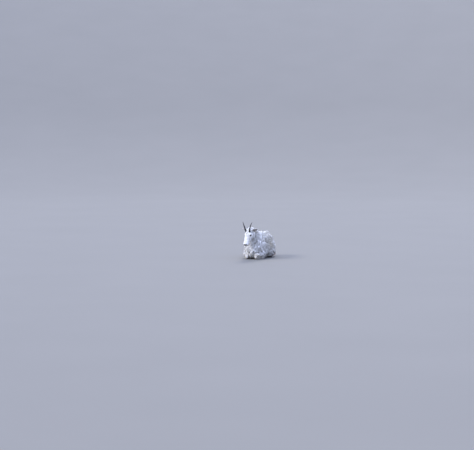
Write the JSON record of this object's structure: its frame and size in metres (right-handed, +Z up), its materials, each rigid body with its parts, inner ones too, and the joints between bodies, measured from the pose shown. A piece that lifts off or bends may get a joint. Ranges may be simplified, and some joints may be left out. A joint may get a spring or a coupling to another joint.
{
  "type": "mountain goat",
  "caption": "Life-size still model of a shaggy white mountain goat at rest, legs folded under it, head raised, with slender black horns, cupped ears and a beard.",
  "frame": {"origin": "on the floor, under the middle of the animal's box", "axes": "+Z up; the animal faces -X and its left side is towards -Y"},
  "size_m": [0.9742, 0.4514, 0.6137],
  "materials": {
    "coat": "long shaggy hair, creamy white",
    "horn": "satin black horn with fine growth rings",
    "hoof": "dull black hoof",
    "eye": "wet dark brown"
  },
  "bodies": {
    "root": {"head": "coat", "neck": "coat", "torso": "coat", "tail": "coat", "foreleg_left": "coat", "foreleg_right": "coat", "hind_leg_left": "coat", "hind_leg_right": "coat", "ear_left": "coat", "ear_right": "coat", "eye_left": "eye", "horn_left": "horn", "hoof_fore_left_inner": "hoof", "hoof_fore_left_outer": "hoof", "hoof_hind_left_inner": "hoof", "hoof_hind_left_outer": "hoof", "eye_right": "eye", "horn_right": "horn", "hoof_fore_right_inner": "hoof", "hoof_fore_right_outer": "hoof", "hoof_hind_right_inner": "hoof", "hoof_hind_right_outer": "hoof"}
  },
  "joints": []
}
